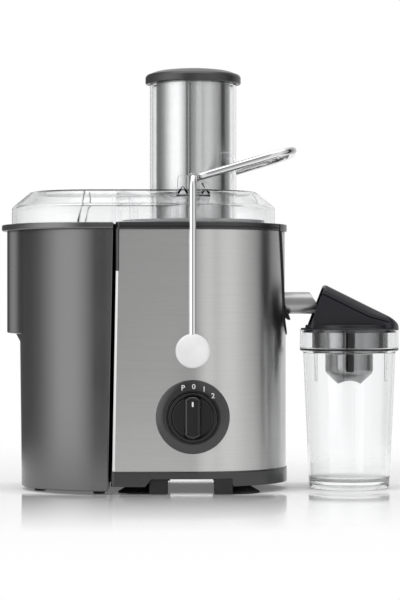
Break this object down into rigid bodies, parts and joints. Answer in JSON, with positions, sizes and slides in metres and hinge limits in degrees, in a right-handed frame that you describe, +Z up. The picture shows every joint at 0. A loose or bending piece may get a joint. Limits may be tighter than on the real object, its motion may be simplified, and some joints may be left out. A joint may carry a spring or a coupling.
{
  "type": "centrifugal juicer",
  "caption": "Upright kitchen juicer with a steel-wrapped motor housing, wide feed tube, locking bail, pulp container and a clear jug under the spout.",
  "frame": {"origin": "on the counter, below the middle of the machine with its container and jug in place", "axes": "+Z up, -Y to the user, +X towards the jug; the drive axis is vertical at x = -0.0065, y = 0"},
  "size_m": [0.3728, 0.2025, 0.396],
  "materials": {
    "brushed_steel": "horizontal brushing",
    "satin_steel": "satin",
    "chrome_rod": "polished",
    "white_plate": "satin white",
    "dark_plastic": "satin dark grey",
    "black_plastic": "fine texture",
    "gloss_black": "glossy",
    "dial_plastic": "satin with printed marks",
    "rubber": "matte",
    "clear_plastic": "clear, polished",
    "grey_plastic": "satin",
    "pale_plastic": "plain",
    "cast_bracket": "cast",
    "machined_steel": "machined",
    "lamination": "stacked sheet",
    "copper": "varnished copper",
    "brass": "stamped",
    "carbon": "pressed carbon"
  },
  "bodies": {
    "base": {"steel_wrap": "brushed_steel", "inner_housing": "black_plastic", "top_bezel": "dark_plastic", "slot_trim": "black_plastic", "plinth": "dark_plastic", "foot_blocks": "black_plastic", "base_plate": "black_plastic", "suction_feet": "rubber", "motor_deck": "black_plastic", "motor_dampers": "rubber", "upper_bracket": "cast_bracket", "lower_bracket": "cast_bracket", "bearings": "machined_steel", "stator": "lamination", "field_coils": "copper", "brush_holders": "brass", "carbon_brushes": "carbon", "speed_switch": "pale_plastic", "dial_ring": "dial_plastic", "safety_switch": "pale_plastic", "pivot_pins": "machined_steel", "cord_inlet": "black_plastic", "base_screws": "machined_steel", "juice_collector": "grey_plastic", "spout": "satin_steel", "slot_panel": "satin_steel", "hub_seal": "rubber", "lid": "clear_plastic", "feed_tube": "clear_plastic"},
    "bail": {"bail_rod": "chrome_rod", "pivot_plates": "white_plate"},
    "knob": {"speed_knob": "gloss_black", "knob_spindle": "machined_steel"},
    "rotor": {"motor_shaft": "machined_steel", "armature": "lamination", "commutator": "copper", "cooling_fan": "black_plastic", "drive_coupling": "black_plastic", "basket_frame": "grey_plastic", "sieve": "satin_steel", "grater_disc": "satin_steel"},
    "pusher": {"pusher_sleeve": "satin_steel", "pusher_cap": "dark_plastic", "pusher_foot": "dark_plastic"},
    "container": {"pulp_container": "dark_plastic", "container_feet": "rubber"},
    "jug": {"jug": "clear_plastic"},
    "jug_lid": {"jug_hood": "black_plastic", "froth_separator": "chrome_rod"}
  },
  "joints": [
    {"name": "bail_swing", "type": "hinge", "parent": "base", "child": "bail", "pos_m": [-0.0065, 0, 0.1305], "axis": [0, 1, 0], "range_deg": [0, 64]},
    {"name": "speed_select", "type": "hinge", "parent": "base", "child": "knob", "pos_m": [-0.0065, -0.087, 0.0707], "axis": [0, 1, 0], "range_deg": [-20, 44]},
    {"name": "drive_spin", "type": "hinge", "parent": "base", "child": "rotor", "pos_m": [-0.0065, 0, 0.1], "axis": [0, 0, 1], "continuous": true},
    {"name": "pusher_lift", "type": "slide", "parent": "base", "child": "pusher", "axis": [0, 0, 1], "range_m": [0, 0.16]},
    {"name": "container_pull", "type": "slide", "parent": "base", "child": "container", "axis": [-1, 0, 0], "range_m": [0, 0.12]},
    {"name": "jug_pull", "type": "slide", "parent": "base", "child": "jug", "axis": [1, 0, 0], "range_m": [0, 0.12]},
    {"name": "hood_lift", "type": "slide", "parent": "jug", "child": "jug_lid", "axis": [0, 0, 1], "range_m": [0, 0.07]}
  ]
}
